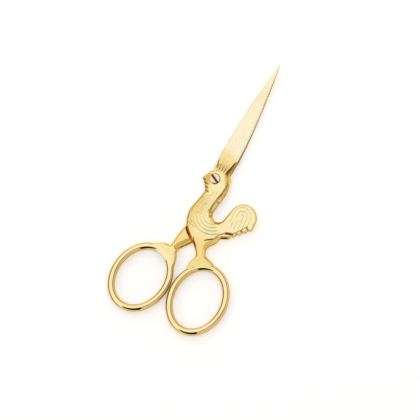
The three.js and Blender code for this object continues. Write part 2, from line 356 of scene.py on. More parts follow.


# Tone of the metal, with painted light and shade by facing: pale (a painted highlight) where faces turn up,
# deeper on the flanks and steep sides, painted shade in the cuts, a painted highlight on the ridges, clouded
# a little all over
def makeToneGroup():
    tree, given, out = newGroup("metalTone", [
        ("Vector", "Vector", None), ("Flank", "Float", 0.0), ("Side", "Float", 0.0), ("Recess", "Float", 0.0),
        ("Ridge", "Float", 0.0), ("Pale", "Color", (1, 1, 1, 1)), ("Mid", "Color", (1, 1, 1, 1)),
        ("Steep", "Color", (1, 1, 1, 1)), ("Deep", "Color", (0, 0, 0, 1)),
        ("Worn", "Color", (1, 1, 1, 1)), ("Clouding", "Float", 0.1),
    ], [("Color", "Color")])
    cloud = noiseNode(tree, given.outputs["Vector"], surface["cloudScale"], detail=3)
    speck = noiseNode(tree, given.outputs["Vector"], surface["speckScale"])
    mottled = mathNode(tree, "ADD", mathNode(tree, "MULTIPLY", cloud, surface["cloudShare"]),
                       mathNode(tree, "MULTIPLY", speck, surface["speckShare"]))
    drift = mathNode(tree, "SUBTRACT", mottled, surface["cloudLevel"])
    drift = mathNode(tree, "MULTIPLY", drift, given.outputs["Clouding"])
    towardsMid = mathNode(tree, "ADD", given.outputs["Flank"], drift)
    towardsMid.node.use_clamp = True
    polished = mixColours(tree, towardsMid, given.outputs["Pale"], given.outputs["Mid"])
    walled = mixColours(tree, given.outputs["Side"], polished, given.outputs["Steep"])
    cut = mixColours(tree, given.outputs["Recess"], walled, given.outputs["Deep"])
    # painted highlight on the ridges, broken up by specks
    sheenShare = mathNode(tree, "ADD", speck, surface["sheenFrom"])
    sheenShare = mathNode(tree, "MULTIPLY", given.outputs["Ridge"], sheenShare)
    sheenShare.node.use_clamp = True
    tree.links.new(mixColours(tree, sheenShare, cut, given.outputs["Worn"]), out.inputs["Color"])
    return tree


# Polish: hair-fine rubbing marks and a slight unevenness of the gloss
def makePolishGroup():
    tree, given, out = newGroup("metalPolish", [
        ("Vector", "Vector", None), ("Recess", "Float", 0.0), ("Gloss", "Float", 0.15),
        ("Unevenness", "Float", 0.06), ("Mark Scale", "Float", 2500.0), ("Marks", "Float", 0.5),
    ], [("Roughness", "Float"), ("Height", "Float")])
    marks = tree.nodes.new("ShaderNodeTexNoise")
    marks.inputs["Detail"].default_value = surface["markDetail"]
    tree.links.new(given.outputs["Vector"], marks.inputs["Vector"])
    tree.links.new(given.outputs["Mark Scale"], marks.inputs["Scale"])
    patch = noiseNode(tree, given.outputs["Vector"], surface["patchScale"])
    uneven = mathNode(tree, "MULTIPLY", mathNode(tree, "SUBTRACT", patch, 0.5), given.outputs["Unevenness"])
    base = mathNode(tree, "ADD", given.outputs["Gloss"], uneven)
    rough = mathNode(tree, "MULTIPLY_ADD", given.outputs["Recess"], surface["recessRough"], base)
    rough.node.use_clamp = True
    tree.links.new(rough, out.inputs["Roughness"])
    height = mathNode(tree, "MULTIPLY", marks.outputs["Fac"], given.outputs["Marks"])
    tree.links.new(height, out.inputs["Height"])
    return tree


toneGroup = makeToneGroup()
polishGroup = makePolishGroup()


def maskNode(tree, name):
    node = tree.nodes.new("ShaderNodeAttribute")
    node.attribute_name = name
    return node.outputs["Fac"]


# One metal; where the mask ground or shine is set, it goes over to the blade's or the wire's own polish
def makeMetal(name, finish):
    material = bpy.data.materials.new(name)
    material.use_nodes = True
    tree = material.node_tree
    shader = tree.nodes["Principled BSDF"]
    shader.inputs["Metallic"].default_value = 1
    shader.inputs["Specular Tint"].default_value = (*finish["glance"], 1)
    coords = tree.nodes.new("ShaderNodeTexCoord")
    tone = tree.nodes.new("ShaderNodeGroup")
    tone.node_tree = toneGroup
    tree.links.new(coords.outputs["Object"], tone.inputs["Vector"])
    recess, ground, shine = (maskNode(tree, label) for label in ("recess", "ground", "shine"))
    tree.links.new(maskNode(tree, "flank"), tone.inputs["Flank"])
    tree.links.new(maskNode(tree, "side"), tone.inputs["Side"])
    tree.links.new(maskNode(tree, "ridge"), tone.inputs["Ridge"])
    tree.links.new(recess, tone.inputs["Recess"])
    for label in ("Pale", "Mid", "Steep"):
        plain, onBlade, onWire = ((*finish[kind + label], 1) for kind in ("plain", "blade", "wire"))
        colour = mixColours(tree, shine, mixColours(tree, ground, plain, onBlade), onWire)
        tree.links.new(colour, tone.inputs[label])
    for label in ("Deep", "Worn"):
        tone.inputs[label].default_value = (*finish[label.lower()], 1)
    tone.inputs["Clouding"].default_value = finish["clouding"]
    tree.links.new(tone.outputs["Color"], shader.inputs["Base Color"])

    # rubbing marks all ways on the figure, along the blade on the blade
    grain = tree.nodes.new("ShaderNodeMapping")
    grain.inputs["Scale"].default_value = finish["bladeStretch"]
    tree.links.new(coords.outputs["Object"], grain.inputs["Vector"])
    marks = []
    ways = ((coords.outputs["Object"], finish["markScale"]), (grain.outputs["Vector"], finish["bladeMarks"]))
    gloss = mathNode(tree, "MULTIPLY_ADD", shine, finish["wireGloss"] - finish["gloss"], finish["gloss"])
    for vector, scale in ways:
        polish = tree.nodes.new("ShaderNodeGroup")
        polish.node_tree = polishGroup
        tree.links.new(vector, polish.inputs["Vector"])
        tree.links.new(recess, polish.inputs["Recess"])
        tree.links.new(gloss, polish.inputs["Gloss"])
        polish.inputs["Unevenness"].default_value = finish["unevenness"]
        polish.inputs["Mark Scale"].default_value = scale
        polish.inputs["Marks"].default_value = finish["marks"]
        marks.append(polish)
    bump = tree.nodes.new("ShaderNodeBump")
    bump.inputs["Strength"].default_value = finish["bump"]
    bump.inputs["Distance"].default_value = surface["bumpDepth"]
    for label, socket in (("Roughness", shader.inputs["Roughness"]), ("Height", bump.inputs["Height"])):
        mix = tree.nodes.new("ShaderNodeMix")
        tree.links.new(ground, mix.inputs["Factor"])
        tree.links.new(marks[0].outputs[label], mix.inputs["A"])
        tree.links.new(marks[1].outputs[label], mix.inputs["B"])
        tree.links.new(mix.outputs["Result"], socket)
    tree.links.new(bump.outputs["Normal"], shader.inputs["Normal"])
    return material


# Pale, mid and steep are lit and shaded copies of each gold by facing: pale a painted highlight on faces that
# turn up, mid painted shade on the slopes, steep deeper painted shade on the sides. Deep is painted shade in
# the cuts, sheen a painted highlight on the ridges
goldFinish = {
    "plainPale": (0.94, 0.785, 0.38), "plainMid": (0.88, 0.61, 0.16), "plainSteep": (0.52, 0.35, 0.13),
    "bladePale": (0.97, 0.885, 0.63), "bladeMid": (0.86, 0.64, 0.24), "bladeSteep": (0.62, 0.46, 0.22),
    "wirePale": (0.97, 0.83, 0.46), "wireMid": (0.81, 0.55, 0.18), "wireSteep": (0.28, 0.16, 0.04),
    "deep": (0.25, 0.12, 0.024), "worn": (0.98, 0.88, 0.56), "glance": (0.95, 0.72, 0.4),
    "clouding": 0.7, "gloss": 0.17, "wireGloss": 0.035, "unevenness": 0.08, "markScale": 3000, "marks": 0.6,
    "bladeStretch": (1, 0.08, 1), "bladeMarks": 6000, "bump": 0.2,
}
# The screw's steel in the same way: lit and shaded copies by facing, painted shade in the slot and a painted
# highlight on the ridges
screwFinish = {
    "deep": (0.13, 0.075, 0.045), "worn": (0.95, 0.84, 0.74), "glance": (1, 1, 1),
    "clouding": 0.3, "gloss": 0.22, "wireGloss": 0.22, "unevenness": 0.1, "markScale": 4000, "marks": 0.6,
    "bladeStretch": (1, 1, 1), "bladeMarks": 4000, "bump": 0.2,
}
for kind in ("plain", "blade", "wire"):     # the same steel all over
    screwFinish[kind + "Pale"] = (0.93, 0.73, 0.52)
    screwFinish[kind + "Mid"] = (0.50, 0.36, 0.27)
    screwFinish[kind + "Steep"] = (0.3, 0.2, 0.14)
goldPlate = makeMetal("goldPlate", goldFinish)
steelScrew = makeMetal("steelScrew", screwFinish)
print("finishes made")


# Blades

blade = {
    "reach": 50.0, "rootY": 9.4, "lean": 1.33, "offset": 1.15, "thickness": 1.15,
    "heel": 3.45, "edgeShoulder": (2.9, 28.0), "spine": 3.7, "spineShoulder": 26.0, "tip": 0.12,
    "edgeHeight": 0.35, "edgeGrind": 15.5, "spineHeight": 1.0, "spineGrind": 19.0,
    "seamY": 14.0, "seamSpare": 0.6, "seamHold": 0.3, "curvePoints": 24, "tolerance": 0.01,
    "edgeBevel": 0.05, "keenAngle": 0.12, "spineCorner": 0.26, "spineCornerEnd": 46.0, "spineSide": -0.4,
    # groundTone, tipTone, toneFade and darkFacing set the painted shade on faces that turn to the right
    "cornerAngle": 1.0, "groundTone": 1.0, "tipTone": 0.4, "toneFade": (16, 32), "darkFacing": 0.4,
    "backHeight": 0.001,
    "groundFade": (6, 13.5),    # where the figures take on the blade's polish
}


# Blade axis frame to the bench; the rear blade is the same one turned over
def bladeFrame(half):
    lean = Matrix.Rotation(math.radians(blade["lean"]), 4, "Z")
    if half == "front":
        return Matrix.Translation((blade["offset"], 0, frontSeat)) @ lean
    return Matrix.Translation((blade["offset"], 0, rearSeat)) @ lean @ Matrix.Rotation(math.pi, 4, "Y")


def bend(start, control, end, count):
    return [start.lerp(control, t).lerp(control.lerp(end, t), t) for t in np.linspace(0, 1, count)]


# Takes off all that stands above a plane rising across the line from start to end
def grind(bm, start, end, height, degrees):
    along = Vector((end.x - start.x, end.y - start.y, 0)).normalized()
    normal = Matrix.Rotation(math.radians(degrees), 3, along) @ Vector((0, 0, 1))
    cutOff(bm, (start.x, start.y, height), normal)


def makeBlade(half):
    heel = Vector((blade["heel"], blade["rootY"], 0))
    tip = Vector((blade["tip"], blade["reach"], 0))
    spineTip = Vector((-blade["tip"], blade["reach"], 0))
    spineRoot = Vector((-blade["spine"], blade["rootY"], 0))
    edgeLine = bend(heel, Vector((*blade["edgeShoulder"], 0)), tip, blade["curvePoints"])
    spineShoulder = Vector((-blade["spine"], blade["spineShoulder"], 0))
    spineLine = bend(spineTip, spineShoulder, spineRoot, blade["curvePoints"])
    bm = bmesh.new()
    outline = bm.faces.new([bm.verts.new(p) for p in edgeLine + spineLine])
    raised = bmesh.ops.extrude_face_region(bm, geom=[outline])
    lifted = [g for g in raised["geom"] if isinstance(g, bmesh.types.BMVert)]
    bmesh.ops.translate(bm, verts=lifted, vec=(0, 0, blade["thickness"]))
    bmesh.ops.recalc_face_normals(bm, faces=bm.faces)
    grind(bm, heel, tip, blade["edgeHeight"], blade["edgeGrind"])
    grind(bm, spineTip, spineRoot, blade["spineHeight"], blade["spineGrind"])
    cutOff(bm, (0, blade["seamY"], 0), (0, -1, 0))
    bmesh.ops.dissolve_limit(bm, angle_limit=0.002, verts=bm.verts, edges=bm.edges)

    def isCorner(edge):
        low, high = sorted(vert.co.y for vert in edge.verts)
        onBack = all(vert.co.z < blade["backHeight"] and vert.co.x < blade["spineSide"]
                     for vert in edge.verts)
        return (onBack and high < blade["spineCornerEnd"] and high - low > blade["tolerance"]
                and len(edge.link_faces) == 2 and edge.calc_face_angle(0) > blade["cornerAngle"])

    def isKeen(edge):
        low, high = sorted(vert.co.y for vert in edge.verts)
        return (low > blade["seamY"] - blade["tolerance"] and high > blade["seamY"] + blade["tolerance"]
                and len(edge.link_faces) == 2 and edge.calc_face_angle(0) > blade["keenAngle"])

    bmesh.ops.bevel(bm, geom=[edge for edge in bm.edges if isCorner(edge)], offset=blade["spineCorner"],
                    segments=1, profile=0.5, affect="EDGES", material=-1, clamp_overlap=False)
    bmesh.ops.bevel(bm, geom=[edge for edge in bm.edges if isKeen(edge)], offset=blade["edgeBevel"],
                    segments=2, profile=0.5, affect="EDGES", material=-1, clamp_overlap=True)
    bmesh.ops.transform(bm, matrix=bladeFrame(half), verts=bm.verts)
    bmesh.ops.recalc_face_normals(bm, faces=bm.faces)
    bm.normal_update()
    # faces that turn to the right get painted shade, fading towards the tip; on the front blade's cutting
    # edge it stands in part for bare steel
    along = np.array([face.calc_center_median().y for face in bm.faces])
    dark = fade(along, blade["toneFade"], blade["groundTone"], blade["tipTone"])
    masks = {
        "ground": np.ones(len(bm.verts)),
        "recess": dark * np.array([face.normal.x > blade["darkFacing"] for face in bm.faces]),
    }
    return finishPiece(half + "_blade", bm, half, half + "_half", goldPlate, masks,
                       sharpAngle=25, faceted=True)


makeBlade("front")
makeBlade("rear")


# Finger bows

bow = {
    "holeLength": 22.8, "holeWidth": 17.6, "wireWidth": 2.8, "wireHeight": 2.9,
    "segments": 192, "sides": 40, "spinRadius": 4, "ovalRounds": 6,
    # touchTone, touchReach and touchFacing: painted shade where the bows touch
    "touch": (5.05, -44.4), "touchReach": 2.6, "touchTone": 0.35, "touchFacing": (0.6, 0.93),
}
rightBow = {"x": 16.7, "y": -43.2, "lean": 0.4}
leftBow = {"x": -6.7, "y": -46.2, "lean": -10.6}
halfWide = (bow["holeWidth"] + bow["wireWidth"]) / 2
halfLong = (bow["holeLength"] + bow["wireWidth"]) / 2


# From bench places to a bow's own axes
def toBow(spots, where):
    lean = math.radians(where["lean"])
    x, y = spots[:, 0] - where["x"], spots[:, 1] - where["y"]
    return np.column_stack((x * math.cos(lean) + y * math.sin(lean), y * math.cos(lean) - x * math.sin(lean)))


def fromBow(flat, where):
    lean = math.radians(where["lean"])
    x = where["x"] + flat[:, 0] * math.cos(lean) - flat[:, 1] * math.sin(lean)
    y = where["y"] + flat[:, 0] * math.sin(lean) + flat[:, 1] * math.cos(lean)
    return np.column_stack((x, y))


# Nearest point of the oval middle line of the wire
def nearestOnOval(flat):
    p = np.abs(flat)
    tx = np.full(len(p), math.sqrt(0.5))
    ty = tx.copy()
    spread = halfWide ** 2 - halfLong ** 2
    for _ in range(bow["ovalRounds"]):
        ex, ey = spread * tx ** 3 / halfWide, -spread * ty ** 3 / halfLong
        r = np.hypot(halfWide * tx - ex, halfLong * ty - ey)
        q = np.maximum(np.hypot(p[:, 0] - ex, p[:, 1] - ey), 1e-9)
        tx = np.clip(((p[:, 0] - ex) * r / q + ex) / halfWide, 0, 1)
        ty = np.clip(((p[:, 1] - ey) * r / q + ey) / halfLong, 0, 1)
        size = np.hypot(tx, ty)
        tx, ty = tx / size, ty / size
    return np.column_stack((halfWide * tx * np.sign(flat[:, 0]), halfLong * ty * np.sign(flat[:, 1])))


# Distance from the wire's middle line, 1 on the surface of the wire, and the middle line's own point
def wireReach(spots, where):
    flat = toBow(spots, where)
    middle = nearestOnOval(flat)
    across = np.linalg.norm(flat - middle, axis=1) / (bow["wireWidth"] / 2)
    above = (spots[:, 2] - parting) / (bow["wireHeight"] / 2)
    line = np.column_stack((fromBow(middle, where), np.full(len(spots), parting)))
    return np.hypot(across, above), line


# Painted shade where the two bows touch, on faces that turn away from upright
def bowTouchShade(spots, normals):
    away = np.hypot(spots[:, 0] - bow["touch"][0], spots[:, 1] - bow["touch"][1])
    dark = bow["touchTone"] * np.exp(-(away / bow["touchReach"]) ** 2)
    return dark * fadeOut(normals[:, 2], bow["touchFacing"])


def makeRightBow():
    bm = bmesh.new()
    ring = bmesh.ops.create_circle(bm, segments=bow["sides"], radius=1)
    stand = Matrix.Translation((bow["spinRadius"], 0, 0)) @ Matrix.Rotation(math.pi / 2, 4, "X")
    bmesh.ops.transform(bm, matrix=stand, verts=ring["verts"])
    bmesh.ops.spin(bm, geom=bm.verts[:] + bm.edges[:], cent=(0, 0, 0), axis=(0, 0, 1), angle=math.tau,
                   steps=bow["segments"], use_merge=True)
    bmesh.ops.remove_doubles(bm, verts=bm.verts, dist=0.0001)
    for vert in bm.verts:
        turn = math.atan2(vert.co.y, vert.co.x)
        out = math.hypot(vert.co.x, vert.co.y) - bow["spinRadius"]
        middle = Vector((halfWide * math.cos(turn), halfLong * math.sin(turn)))
        away = Vector((halfLong * math.cos(turn), halfWide * math.sin(turn))).normalized()
        flat = middle + away * out * bow["wireWidth"] / 2
        place = fromBow(np.array([flat]), rightBow)[0]
        vert.co = (place[0], place[1], parting + vert.co.z * bow["wireHeight"] / 2)
    bmesh.ops.recalc_face_normals(bm, faces=bm.faces)
    spots, normals = places(bm), facings(bm)
    masks = {"shine": np.ones(len(bm.verts)), "recess": bowTouchShade(spots, normals)}
    return finishPiece("right_bow", bm, "front", "front_half", goldPlate, masks)


makeRightBow()


# Carving of the cockerel

# lineTone, scaleTone and the tone of each cut are painted shade in the engraved lines
carving = {
    "lineWidth": 0.2, "lineDepth": 0.07, "lineTone": 0.42,
    "wingCentre": (6.2, -12.4), "wingFirst": 3.64, "wingStep": 1.31, "wingLines": 4,
    "wingStart": (196, 216), "wingEnd": (310, 326), "wingFaint": 0.45, "wingFull": (215, 250),   # degrees
    "tailCentre": (16.3, -7.5), "tailAlong": (0.084, -0.996), "tailFrom": 9,
    "hairpins": ((3.35, 4.5), (1.9, 2.2), (0.5, 0.6)),      # off the middle, end of the left arm
    "straights": ((-0.9, 1.2), (-2.3, 2.8)),                # off the middle, start
    "armFade": 1.5, "rightArm": (5.6, 6.6),
    "scaleStep": 1.35, "scaleRow": 0.62, "scaleLean": 35, "scaleWidth": 0.22, "scaleDepth": 0.07,
    "scaleTone": 0.48, "scaleShift": 0.18, "scaleFrom": (7.8, 8.5), "scaleFaint": 0.55,
    "scaleTurn": ((120, 135), (196, 212)), "scaleTop": (-9, -7.5), "scaleFoot": -20, "scaleRight": 4,
    "unevenBeat": (2.4, 1.7), "unevenSize": 0.06, "faintBeat": (1.3, -2.1), "faintBy": 0.25, "scaleLap": 0.1,
    "dome": 0.28, "domeCentre": (6.5, -15.5), "domeReach": (9.5, 8.5), "domeFoot": (-24, -19),
}

# Single cuts: path, width, depth, tone (painted shade in the cut)
cuts = [
    ([(-4.4, -1.7), (-3.0, -2.1)], 0.2, 0.40, 0.95),                          # beak
    ([(-2.9, -2.8), (-1.7, -3.0)], 0.2, 0.40, 0.95),                          # wattle
    ([(-2.1, -4.05), (-0.9, -4.3)], 0.2, 0.40, 0.95),
    ([(-1.2, -5.3), (0.0, -5.5)], 0.2, 0.35, 0.9),
    ([(-1.46, 4.2), (-2.0, 5.9), (-2.5, 7.6)], 0.24, 0.20, 0.85),             # left edge of the comb
    ([(-0.19, 4.0), (-0.6, 8.2)], 0.2, 0.06, 0.24),                           # flutes of the comb
    ([(0.78, 4.0), (0.78, 8.3)], 0.2, 0.06, 0.24),
    ([(1.72, 3.9), (2.1, 7.8)], 0.2, 0.06, 0.24),
    ([(-1.17, -9.4), (-0.12, -7.7), (1.45, -6.65)], 0.2, 0.06, 0.28),         # cape
    ([(-0.35, -9.9), (0.83, -8.1), (1.84, -7.3)], 0.2, 0.06, 0.28),
    ([(3.5, -3.9), (3.1, -6.0)], 0.2, 0.05, 0.2),                             # hackles
    ([(2.3, -4.6), (1.8, -6.4)], 0.2, 0.05, 0.2),
    ([(3.6, -6.9), (2.9, -8.7)], 0.2, 0.05, 0.2),
    ([(2.5, -7.6), (1.8, -9.4)], 0.2, 0.05, 0.2),
    ([(4.0, -23.5), (4.5, -24.3), (5.9, -25.7), (7.05, -27.3), (8.0, -29.3)], 0.22, 0.15, 0.85),  # by the leg
    ([(5.48, 0), (5.25, -3.75), (4.34, -7.9), (4.25, -10.3), (4.57, -12.1)], 0.2, 0.10, 0.8),  # by the neck
    ([(5.4, -1.6), (5.25, -3.75), (4.7, -6.2)], 0.32, 0.12, 0.9),
    ([(4.9, 1.1), (5.35, -0.8), (5.42, -2.1)], 0.26, 0.04, 0.75),
    ([(8.3, -22.5), (9.0, -21.8), (11.1, -20.4), (12.0, -18.1), (12.9, -17.2), (14.2, -16.2)],
     0.2, 0.22, 0.75),                                                        # belly
    ([(14.1, -16.25), (15.1, -15.8), (16.3, -15.5)], 0.28, 0.60, 1.0),        # under the tail
    ([(16.1, -15.4), (17.5, -13.9), (18.7, -12.1), (19.9, -10.2)], 0.17, 0.18, 0.6),      # feather roots
    ([(18.15, -15.1), (17.3, -14.3)], 0.17, 0.40, 0.85),                      # between the feather tips
    ([(19.65, -13.4), (18.5, -12.5)], 0.17, 0.40, 0.85),
    ([(21.2, -11.7), (19.9, -10.5)], 0.17, 0.40, 0.85),
]


def groove(distance, width):
    return np.exp(-(distance / width) ** 2)


# Distance to the nearest stretch of a path
def pathDistance(u, v, path):
    nearest = np.full(len(u), 99.0)
    for start, end in zip(path, path[1:]):
        a, b = np.array(start), np.array(end) - np.array(start)
        t = np.clip(((u - a[0]) * b[0] + (v - a[1]) * b[1]) / (b @ b), 0, 1)
        nearest = np.minimum(nearest, np.hypot(u - a[0] - t * b[0], v - a[1] - t * b[1]))
    return nearest


def roundWing(u, v):
    du, dv = u - carving["wingCentre"][0], v - carving["wingCentre"][1]
    return np.hypot(du, dv), np.degrees(np.arctan2(dv, du)) % 360


# Nested curved feather lines of the wing
def wingLines(u, v):
    reach, turn = roundWing(u, v)
    shown = fade(turn, carving["wingFull"], carving["wingFaint"], 1)
    shown = shown * between(turn, carving["wingStart"], carving["wingEnd"])
    lines = sum(groove(reach - carving["wingFirst"] - k * carving["wingStep"], carving["lineWidth"])
                for k in range(carving["wingLines"]))
    return lines * shown


# Feather lines of the tail: side by side up from the tips, and the outer ones turn over in a hairpin
def tailLines(u, v):
    p = np.column_stack((u - carving["tailCentre"][0], v - carving["tailCentre"][1]))
    along = np.array(carving["tailAlong"])
    down = p @ along
    right = -p[:, 0] * along[1] + p[:, 1] * along[0]
    away = np.where(down > 0, np.abs(right), np.hypot(down, right))
    rightEnd = fadeOut(down, carving["rightArm"])
    total = np.zeros_like(u)
    for off, arm in carving["hairpins"]:
        ends = np.where(right < 0, fadeOut(down, (arm - carving["armFade"], arm)), rightEnd)
        total += groove(away - off, carving["lineWidth"]) * ends
    for off, start in carving["straights"]:
        begun = fadeIn(down, (start, start + carving["armFade"]))
        total += groove(right - off, carving["lineWidth"]) * begun * rightEnd
    return total * (u > carving["tailFrom"])


# Small overlapping scales on the breast
def breastScales(u, v):
    step = carving["scaleStep"]
    rowStep = step * carving["scaleRow"]
    lean = math.radians(carving["scaleLean"])
    a = u * math.cos(lean) + v * math.sin(lean)
    b = v * math.cos(lean) - u * math.sin(lean)
    (rowBeat, columnBeat), (rowFaint, columnFaint) = carving["unevenBeat"], carving["faintBeat"]
    best = np.zeros_like(u)
    for shift in (0, 1):
        row = np.floor(b / rowStep) + shift
        offset = np.where(row % 2 == 0, 0, step / 2)
        column = np.round((a - offset) / step)
        uneven = np.sin(rowBeat * row + columnBeat * column)       # cut by hand
        faint = np.cos(rowFaint * row + columnFaint * column)
        strength = 1 - carving["faintBy"] + carving["faintBy"] * faint
        centreA = column * step + offset + carving["scaleShift"] * uneven
        radius = step * (0.5 + carving["unevenSize"] * uneven)
        arc = np.hypot(a - centreA, b - row * rowStep) - radius
        lapped = b < row * rowStep + carving["scaleLap"]
        best = np.maximum(best, strength * groove(arc, carving["scaleWidth"]) * lapped)
    reach, turn = roundWing(u, v)
    aboveWing = carving["scaleFaint"] * between(turn, *carving["scaleTurn"])
    shown = np.maximum(fadeIn(reach, carving["scaleFrom"]), aboveWing) * fadeOut(v, carving["scaleTop"])
    return best * shown * (v > carving["scaleFoot"]) * (u < carving["scaleRight"])


def domeHeight(u, v):
    (x, y), (wide, tall) = carving["domeCentre"], carving["domeReach"]
    body = 1 - ((u - x) / wide) ** 2 - ((v - y) / tall) ** 2
    return carving["dome"] * np.sqrt(np.clip(body, 0, 1)) * fadeIn(v, carving["domeFoot"])


# Takes the roughness off the carving
def easeCuts(bm):
    relax(bm, inBox(bm, y=(-99, blade["seamY"] - blade["seamHold"])), 1, factor=0.3)


frontFigure = {
    "voxel": 0.105, "skinRounds": 4, "toeCut": (11.9, -32.6), "toeNormal": (0.457, -0.889),
    "wireNear": 1.03, "wireSink": 0.88, "toeX": (8.0, 9.6), "toeY": (-33.2, -31.8), "toeShift": (0.25, -0.75),
    "footJoint": 0.12, "footFall": (0.3, 6.0), "footInset": 0.08, "footTop": -24, "footAbove": 0.5,
    "wallHeights": (0.2, 0.6), "wallRoom": 3, "wallFacing": 0.5, "screwRoom": 2.6,
    "edgeFoot": 0.45, "edgeFrom": 0.3, "edgeY": (-30, 2.5),
    "edgeRun": 1.1, "wideRun": 0.75, "wideFacing": (0.3, 0.75),
    "neckRun": (0.45, 1.75), "neckWiden": (-1, 7), "neckFoot": (-12.5, -11),
    "tailRun": 0.6, "tailX": (9.5, 12), "tailLean": 0.62, "tailMiddle": 16.5, "tailY": (-17.2, -15.8),
    "legRun": 0.9, "legY": (-27, -22), "shinRun": (1.2, 0.35), "shinNarrow": (23.5, 29.5),
    "thighRun": 0.6, "thighY": ((14.5, 17), (23, 25.5)),
    "bandWidth": 2.4, "bandDepth": 0.3, "bandRounds": 4,
    "combSlope": (3.4, 10.5), "thinnest": 0.2,
    "cheekX": (-1.1, 1.2), "cheekY": ((-7.5, -5.5), (0.5, 2.5)), "cheekFall": 0.42, "cheekFrom": 0.8,
    # softened in height: from y, to y, left of x, rounds
    "softened": [(3.4, 8.5, 99, 6), (8, 13, 99, 14), (-6.5, 2.2, 1.2, 30), (-36, -28, 99, 24)],
    "softFacing": 0.3, "softFrom": 0.4, "softRoom": 2.5,
    "carveFacing": (0.35, 0.8), "carveFrom": 0.5, "carveFoot": -27, "bodyTop": -3,
    "cutFrom": 0.3, "cutFacing": -0.1, "cutFloor": 0.25,
}

# Where the front figure gets painted shade (darker or warmer) and a painted highlight (paler)
frontTones = {
    "cheek": 0.26, "cheekX": (-2.9, -0.3), "cheekY": ((-6.4, -5.2), (0.2, 1.6)),
    "gapFacing": -0.3, "gapY": ((-27, -25), (-20, -18)), "gapDepth": 0.5,
    "rightShadeFacing": (0.4, 0.8), "rightShadeY": (2.5, 4),
    "left": (-0.869, -0.4948), "leftFacing": (0.2, 0.8), "leftFoot": (-24, -22), "leftTop": -5,
    "rim": 0.5, "rimLeft": 0.15, "rimFrom": 0.1, "rimWidth": 0.42, "rimWide": 0.6, "rimHeight": 0.35,
    "rimY": (-31, 3), "level": 0.8, "tailX": (10, 13), "tailFoot": -16.5,
    "faceX": (-1.6, 0.6), "faceY": ((-7, -5.5), (0.8, 2.2)),
    "headY": ((-5, -3), (1.5, 3)), "bodyX": (1.5, 5), "bodyY": (-23, -20), "rootY": ((2.6, 4), (9.5, 13)),
    "breastX": (-3, 0), "breastY": (-22, -8), "legY": (-25, -21),
    "tailEdge": 0.4, "tail": 0.8, "head": 0.8, "body": 0.4, "root": 0.4, "breast": 0.35, "leg": 0.35,
}
downRight = np.array((0.7071, -0.7071))


# The foot runs out level on the crest of the wire, and past it lies just inside
def settleFoot(bm):
    look = frontFigure
    spots = places(bm)
    flat = toBow(spots, rightBow)
    outside = np.linalg.norm(flat, axis=1) - np.linalg.norm(nearestOnOval(flat), axis=1)
    share = outside / (bow["wireWidth"] / 2)
    crest = parting + bow["wireHeight"] / 2 * np.sqrt(np.clip(1 - share ** 2, 0, 1))
    fall = fade(outside, look["footFall"], parting + bow["wireHeight"] / 2, frontTop)
    level = np.where(share < look["footJoint"], crest - look["footInset"], fall)
    over = (spots[:, 1] < look["footTop"]) & (outside < look["footFall"][1])
    over = over & (spots[:, 2] > parting + look["footAbove"])
    spots[:, 2] = np.where(over, np.minimum(spots[:, 2], level), spots[:, 2])
    setPlaces(bm, spots)


def frontWalls(spots, normals):
    onSide = np.abs(normals[:, 2]) < frontFigure["wallFacing"]
    onSide = onSide & inside(spots[:, 2] - frontSeat, frontFigure["wallHeights"])
    return onSide & (np.hypot(spots[:, 0], spots[:, 1]) > frontFigure["wallRoom"])


def seamPlane(half):
    place = bladeFrame(half)
    return place @ Vector((0, blade["seamY"], 0)), place.to_3x3() @ Vector((0, 1, 0))


